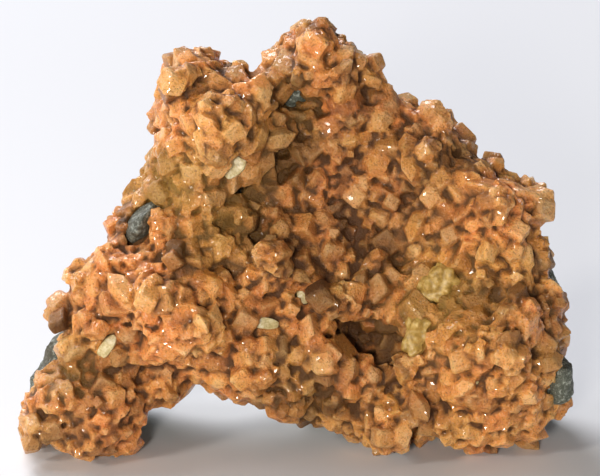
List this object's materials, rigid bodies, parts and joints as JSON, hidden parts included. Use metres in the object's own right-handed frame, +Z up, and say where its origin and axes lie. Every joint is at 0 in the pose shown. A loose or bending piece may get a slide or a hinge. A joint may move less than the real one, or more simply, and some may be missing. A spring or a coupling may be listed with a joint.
{
  "type": "mineral specimen",
  "caption": "Hand specimen of gmelinite-Ca: intergrown orange crystals crusting broken dark basalt, with pale blades and yellow flakes, standing on its lower edge.",
  "frame": {"origin": "centre of the bounding box's bottom face, on the surface the specimen stands on", "axes": "+X along the specimen's width, to the right seen from the crystal face; +Z up; the crystal face looks towards -Y and leans back"},
  "size_m": [0.0908, 0.04, 0.0702],
  "materials": {
    "gmelinite": "satin",
    "basalt": "matte",
    "pale_blade": "satin",
    "yellow_flake": "satin"
  },
  "bodies": {
    "root": {"basalt_matrix": "basalt", "gmelinite_crust": "gmelinite", "pale_blade_left": "pale_blade", "pale_blade_middle": "pale_blade", "pale_blade_under_knob": "pale_blade", "pale_blade_right": "pale_blade", "pale_blade_hollow": "pale_blade", "yellow_flake_upper": "yellow_flake", "yellow_flake_lower": "yellow_flake"}
  },
  "joints": []
}
